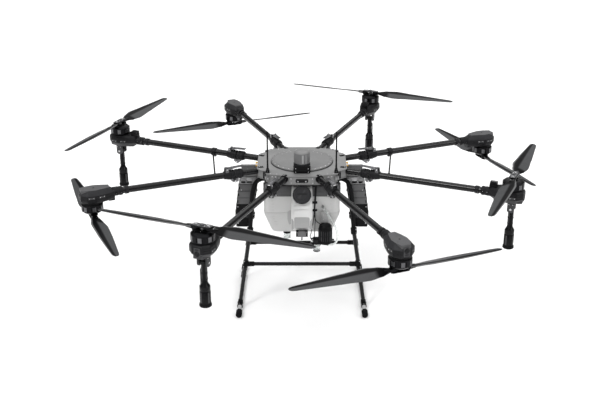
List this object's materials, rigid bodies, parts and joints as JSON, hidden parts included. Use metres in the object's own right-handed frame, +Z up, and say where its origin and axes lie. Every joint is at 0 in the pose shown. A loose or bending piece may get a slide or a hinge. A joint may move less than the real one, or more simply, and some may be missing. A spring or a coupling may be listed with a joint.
{
  "type": "agricultural spray drone",
  "caption": "Folding agricultural spray drone with radial arms, folding propellers, hanging spray nozzles, liquid tank, side batteries and skid landing gear.",
  "frame": {"origin": "on the ground under the hub's axis, between the skids", "axes": "+Z up, -Y towards the front of the drone, +X to the right seen from in front"},
  "size_m": [2.891, 2.891, 1.16],
  "materials": {
    "arm_carbon": "black carbon-fibre tube and black moulded mounts, satin",
    "latch_alloy": "dark anodised alloy",
    "rotor_alloy": "black anodised alloy with bright bolts",
    "blade_composite": "black carbon composite with a soft sheen",
    "nozzle_plastic": "dark moulded plastic",
    "battery_case": "grey moulded case with a black lower part",
    "dark_plastic": "dark grey moulded plastic",
    "hub_grey": "satin mid-grey paint",
    "black_rubber": "black rubber and matt plastic",
    "tank_plastic": "translucent white polyethylene",
    "clear_hose": "clear PVC hose"
  },
  "bodies": {
    "airframe": {"hub_frame": "hub_grey", "hub_lid": "hub_grey", "radar_unit": "dark_plastic", "antenna_left": "black_rubber", "antenna_right": "black_rubber", "tank": "tank_plastic", "terrain_sensor": "dark_plastic", "pump": "black_rubber", "hose": "clear_hose", "landing_gear_left": "arm_carbon", "landing_gear_right": "arm_carbon", "crossbar_front": "arm_carbon", "crossbar_rear": "arm_carbon"},
    "arm_1": {"arm_1": "arm_carbon"},
    "latch_1": {"latch_1": "latch_alloy"},
    "rotor_1": {"rotor_1": "rotor_alloy"},
    "blade_1a": {"blade_1a": "blade_composite"},
    "blade_1b": {"blade_1b": "blade_composite"},
    "arm_2": {"arm_2": "arm_carbon"},
    "latch_2": {"latch_2": "latch_alloy"},
    "rotor_2": {"rotor_2": "rotor_alloy"},
    "blade_2a": {"blade_2a": "blade_composite"},
    "blade_2b": {"blade_2b": "blade_composite"},
    "arm_3": {"arm_3": "arm_carbon"},
    "latch_3": {"latch_3": "latch_alloy"},
    "rotor_3": {"rotor_3": "rotor_alloy"},
    "blade_3a": {"blade_3a": "blade_composite"},
    "blade_3b": {"blade_3b": "blade_composite"},
    "arm_4": {"arm_4": "arm_carbon"},
    "latch_4": {"latch_4": "latch_alloy"},
    "rotor_4": {"rotor_4": "rotor_alloy"},
    "blade_4a": {"blade_4a": "blade_composite"},
    "blade_4b": {"blade_4b": "blade_composite"},
    "arm_5": {"arm_5": "arm_carbon"},
    "latch_5": {"latch_5": "latch_alloy"},
    "rotor_5": {"rotor_5": "rotor_alloy"},
    "blade_5a": {"blade_5a": "blade_composite"},
    "blade_5b": {"blade_5b": "blade_composite"},
    "arm_6": {"arm_6": "arm_carbon"},
    "latch_6": {"latch_6": "latch_alloy"},
    "rotor_6": {"rotor_6": "rotor_alloy"},
    "blade_6a": {"blade_6a": "blade_composite"},
    "blade_6b": {"blade_6b": "blade_composite"},
    "arm_7": {"arm_7": "arm_carbon"},
    "latch_7": {"latch_7": "latch_alloy"},
    "rotor_7": {"rotor_7": "rotor_alloy"},
    "blade_7a": {"blade_7a": "blade_composite"},
    "blade_7b": {"blade_7b": "blade_composite"},
    "arm_8": {"arm_8": "arm_carbon"},
    "latch_8": {"latch_8": "latch_alloy"},
    "rotor_8": {"rotor_8": "rotor_alloy"},
    "blade_8a": {"blade_8a": "blade_composite"},
    "blade_8b": {"blade_8b": "blade_composite"},
    "nozzle_2": {"nozzle_2": "nozzle_plastic"},
    "nozzle_4": {"nozzle_4": "nozzle_plastic"},
    "nozzle_6": {"nozzle_6": "nozzle_plastic"},
    "nozzle_8": {"nozzle_8": "nozzle_plastic"},
    "battery_left": {"battery_left": "battery_case"},
    "battery_right": {"battery_right": "battery_case"},
    "filler_cap": {"filler_cap": "dark_plastic"}
  },
  "joints": [
    {"name": "arm_1_fold", "type": "hinge", "parent": "airframe", "child": "arm_1", "pos_m": [0.16838, -0.40651, 0.845], "axis": [0.9239, 0.3827, 0], "range_deg": [0, 60]},
    {"name": "arm_2_fold", "type": "hinge", "parent": "airframe", "child": "arm_2", "pos_m": [0.40651, -0.16838, 0.845], "axis": [0.3827, 0.9239, 0], "range_deg": [0, 60]},
    {"name": "arm_3_fold", "type": "hinge", "parent": "airframe", "child": "arm_3", "pos_m": [0.40651, 0.16838, 0.845], "axis": [-0.3827, 0.9239, 0], "range_deg": [0, 60]},
    {"name": "arm_4_fold", "type": "hinge", "parent": "airframe", "child": "arm_4", "pos_m": [0.16838, 0.40651, 0.845], "axis": [-0.9239, 0.3827, 0], "range_deg": [0, 60]},
    {"name": "arm_5_fold", "type": "hinge", "parent": "airframe", "child": "arm_5", "pos_m": [-0.16838, 0.40651, 0.845], "axis": [-0.9239, -0.3827, 0], "range_deg": [0, 60]},
    {"name": "arm_6_fold", "type": "hinge", "parent": "airframe", "child": "arm_6", "pos_m": [-0.40651, 0.16838, 0.845], "axis": [-0.3827, -0.9239, 0], "range_deg": [0, 60]},
    {"name": "arm_7_fold", "type": "hinge", "parent": "airframe", "child": "arm_7", "pos_m": [-0.40651, -0.16838, 0.845], "axis": [0.3827, -0.9239, 0], "range_deg": [0, 60]},
    {"name": "arm_8_fold", "type": "hinge", "parent": "airframe", "child": "arm_8", "pos_m": [-0.16838, -0.40651, 0.845], "axis": [0.9239, -0.3827, 0], "range_deg": [0, 60]},
    {"name": "rotor_1_spin", "type": "hinge", "parent": "arm_1", "child": "rotor_1", "pos_m": [0.49749, -1.20104, 0.815], "axis": [0, 0, 1], "continuous": true},
    {"name": "rotor_2_spin", "type": "hinge", "parent": "arm_2", "child": "rotor_2", "pos_m": [1.20104, -0.49749, 0.945], "axis": [0, 0, 1], "continuous": true},
    {"name": "rotor_3_spin", "type": "hinge", "parent": "arm_3", "child": "rotor_3", "pos_m": [1.20104, 0.49749, 0.815], "axis": [0, 0, 1], "continuous": true},
    {"name": "rotor_4_spin", "type": "hinge", "parent": "arm_4", "child": "rotor_4", "pos_m": [0.49749, 1.20104, 0.945], "axis": [0, 0, 1], "continuous": true},
    {"name": "rotor_5_spin", "type": "hinge", "parent": "arm_5", "child": "rotor_5", "pos_m": [-0.49749, 1.20104, 0.815], "axis": [0, 0, 1], "continuous": true},
    {"name": "rotor_6_spin", "type": "hinge", "parent": "arm_6", "child": "rotor_6", "pos_m": [-1.20104, 0.49749, 0.945], "axis": [0, 0, 1], "continuous": true},
    {"name": "rotor_7_spin", "type": "hinge", "parent": "arm_7", "child": "rotor_7", "pos_m": [-1.20104, -0.49749, 0.815], "axis": [0, 0, 1], "continuous": true},
    {"name": "rotor_8_spin", "type": "hinge", "parent": "arm_8", "child": "rotor_8", "pos_m": [-0.49749, -1.20104, 0.945], "axis": [0, 0, 1], "continuous": true},
    {"name": "nozzle_2_swing", "type": "hinge", "parent": "arm_2", "child": "nozzle_2", "pos_m": [1.20104, -0.49749, 0.803], "axis": [0.3827, 0.9239, 0], "range_deg": [0, 80]},
    {"name": "nozzle_4_swing", "type": "hinge", "parent": "arm_4", "child": "nozzle_4", "pos_m": [0.49749, 1.20104, 0.803], "axis": [-0.9239, 0.3827, 0], "range_deg": [0, 80]},
    {"name": "nozzle_6_swing", "type": "hinge", "parent": "arm_6", "child": "nozzle_6", "pos_m": [-1.20104, 0.49749, 0.803], "axis": [-0.3827, -0.9239, 0], "range_deg": [0, 80]},
    {"name": "nozzle_8_swing", "type": "hinge", "parent": "arm_8", "child": "nozzle_8", "pos_m": [-0.49749, -1.20104, 0.803], "axis": [0.9239, -0.3827, 0], "range_deg": [0, 80]},
    {"name": "battery_left_slide", "type": "slide", "parent": "airframe", "child": "battery_left", "axis": [-1, 0, 0], "range_m": [0, 0.07]},
    {"name": "battery_right_slide", "type": "slide", "parent": "airframe", "child": "battery_right", "axis": [1, 0, 0], "range_m": [0, 0.07]},
    {"name": "filler_cap_turn", "type": "hinge", "parent": "airframe", "child": "filler_cap", "pos_m": [0, -0.2535, 0.7769], "axis": [0, -0.766, 0.6428], "continuous": true},
    {"name": "latch_1_flip", "type": "hinge", "parent": "arm_1", "child": "latch_1", "pos_m": [0.18713, -0.45178, 0.924], "axis": [0.9239, 0.3827, 0], "range_deg": [0, 100]},
    {"name": "latch_2_flip", "type": "hinge", "parent": "arm_2", "child": "latch_2", "pos_m": [0.45178, -0.18713, 0.924], "axis": [0.3827, 0.9239, 0], "range_deg": [0, 100]},
    {"name": "latch_3_flip", "type": "hinge", "parent": "arm_3", "child": "latch_3", "pos_m": [0.45178, 0.18713, 0.924], "axis": [-0.3827, 0.9239, 0], "range_deg": [0, 100]},
    {"name": "latch_4_flip", "type": "hinge", "parent": "arm_4", "child": "latch_4", "pos_m": [0.18713, 0.45178, 0.924], "axis": [-0.9239, 0.3827, 0], "range_deg": [0, 100]},
    {"name": "latch_5_flip", "type": "hinge", "parent": "arm_5", "child": "latch_5", "pos_m": [-0.18713, 0.45178, 0.924], "axis": [-0.9239, -0.3827, 0], "range_deg": [0, 100]},
    {"name": "latch_6_flip", "type": "hinge", "parent": "arm_6", "child": "latch_6", "pos_m": [-0.45178, 0.18713, 0.924], "axis": [-0.3827, -0.9239, 0], "range_deg": [0, 100]},
    {"name": "latch_7_flip", "type": "hinge", "parent": "arm_7", "child": "latch_7", "pos_m": [-0.45178, -0.18713, 0.924], "axis": [0.3827, -0.9239, 0], "range_deg": [0, 100]},
    {"name": "latch_8_flip", "type": "hinge", "parent": "arm_8", "child": "latch_8", "pos_m": [-0.18713, -0.45178, 0.924], "axis": [0.9239, -0.3827, 0], "range_deg": [0, 100]},
    {"name": "blade_1a_fold", "type": "hinge", "parent": "rotor_1", "child": "blade_1a", "pos_m": [0.5289, -1.18803, 0.7665], "axis": [0, 0, 1], "range_deg": [0, 80]},
    {"name": "blade_1b_fold", "type": "hinge", "parent": "rotor_1", "child": "blade_1b", "pos_m": [0.46608, -1.21406, 0.7665], "axis": [0, 0, -1], "range_deg": [0, 80]},
    {"name": "blade_2a_fold", "type": "hinge", "parent": "rotor_2", "child": "blade_2a", "pos_m": [1.21406, -0.46608, 0.9935], "axis": [0, 0, 1], "range_deg": [0, 80]},
    {"name": "blade_2b_fold", "type": "hinge", "parent": "rotor_2", "child": "blade_2b", "pos_m": [1.18803, -0.5289, 0.9935], "axis": [0, 0, -1], "range_deg": [0, 80]},
    {"name": "blade_3a_fold", "type": "hinge", "parent": "rotor_3", "child": "blade_3a", "pos_m": [1.18803, 0.5289, 0.7665], "axis": [0, 0, 1], "range_deg": [0, 80]},
    {"name": "blade_3b_fold", "type": "hinge", "parent": "rotor_3", "child": "blade_3b", "pos_m": [1.21406, 0.46608, 0.7665], "axis": [0, 0, -1], "range_deg": [0, 80]},
    {"name": "blade_4a_fold", "type": "hinge", "parent": "rotor_4", "child": "blade_4a", "pos_m": [0.46608, 1.21406, 0.9935], "axis": [0, 0, 1], "range_deg": [0, 80]},
    {"name": "blade_4b_fold", "type": "hinge", "parent": "rotor_4", "child": "blade_4b", "pos_m": [0.5289, 1.18803, 0.9935], "axis": [0, 0, -1], "range_deg": [0, 80]},
    {"name": "blade_5a_fold", "type": "hinge", "parent": "rotor_5", "child": "blade_5a", "pos_m": [-0.5289, 1.18803, 0.7665], "axis": [0, 0, 1], "range_deg": [0, 80]},
    {"name": "blade_5b_fold", "type": "hinge", "parent": "rotor_5", "child": "blade_5b", "pos_m": [-0.46608, 1.21406, 0.7665], "axis": [0, 0, -1], "range_deg": [0, 80]},
    {"name": "blade_6a_fold", "type": "hinge", "parent": "rotor_6", "child": "blade_6a", "pos_m": [-1.21406, 0.46608, 0.9935], "axis": [0, 0, 1], "range_deg": [0, 80]},
    {"name": "blade_6b_fold", "type": "hinge", "parent": "rotor_6", "child": "blade_6b", "pos_m": [-1.18803, 0.5289, 0.9935], "axis": [0, 0, -1], "range_deg": [0, 80]},
    {"name": "blade_7a_fold", "type": "hinge", "parent": "rotor_7", "child": "blade_7a", "pos_m": [-1.18803, -0.5289, 0.7665], "axis": [0, 0, 1], "range_deg": [0, 80]},
    {"name": "blade_7b_fold", "type": "hinge", "parent": "rotor_7", "child": "blade_7b", "pos_m": [-1.21406, -0.46608, 0.7665], "axis": [0, 0, -1], "range_deg": [0, 80]},
    {"name": "blade_8a_fold", "type": "hinge", "parent": "rotor_8", "child": "blade_8a", "pos_m": [-0.46608, -1.21406, 0.9935], "axis": [0, 0, 1], "range_deg": [0, 80]},
    {"name": "blade_8b_fold", "type": "hinge", "parent": "rotor_8", "child": "blade_8b", "pos_m": [-0.5289, -1.18803, 0.9935], "axis": [0, 0, -1], "range_deg": [0, 80]}
  ],
  "couplings": [
    {"joint": "blade_1a_fold", "follows": "arm_1_fold", "ratio": 1.3},
    {"joint": "blade_1b_fold", "follows": "arm_1_fold", "ratio": 1.3},
    {"joint": "blade_2a_fold", "follows": "arm_2_fold", "ratio": 1.3},
    {"joint": "blade_2b_fold", "follows": "arm_2_fold", "ratio": 1.3},
    {"joint": "blade_3a_fold", "follows": "arm_3_fold", "ratio": 1.3},
    {"joint": "blade_3b_fold", "follows": "arm_3_fold", "ratio": 1.3},
    {"joint": "blade_4a_fold", "follows": "arm_4_fold", "ratio": 1.3},
    {"joint": "blade_4b_fold", "follows": "arm_4_fold", "ratio": 1.3},
    {"joint": "blade_5a_fold", "follows": "arm_5_fold", "ratio": 1.3},
    {"joint": "blade_5b_fold", "follows": "arm_5_fold", "ratio": 1.3},
    {"joint": "blade_6a_fold", "follows": "arm_6_fold", "ratio": 1.3},
    {"joint": "blade_6b_fold", "follows": "arm_6_fold", "ratio": 1.3},
    {"joint": "blade_7a_fold", "follows": "arm_7_fold", "ratio": 1.3},
    {"joint": "blade_7b_fold", "follows": "arm_7_fold", "ratio": 1.3},
    {"joint": "blade_8a_fold", "follows": "arm_8_fold", "ratio": 1.3},
    {"joint": "blade_8b_fold", "follows": "arm_8_fold", "ratio": 1.3}
  ]
}
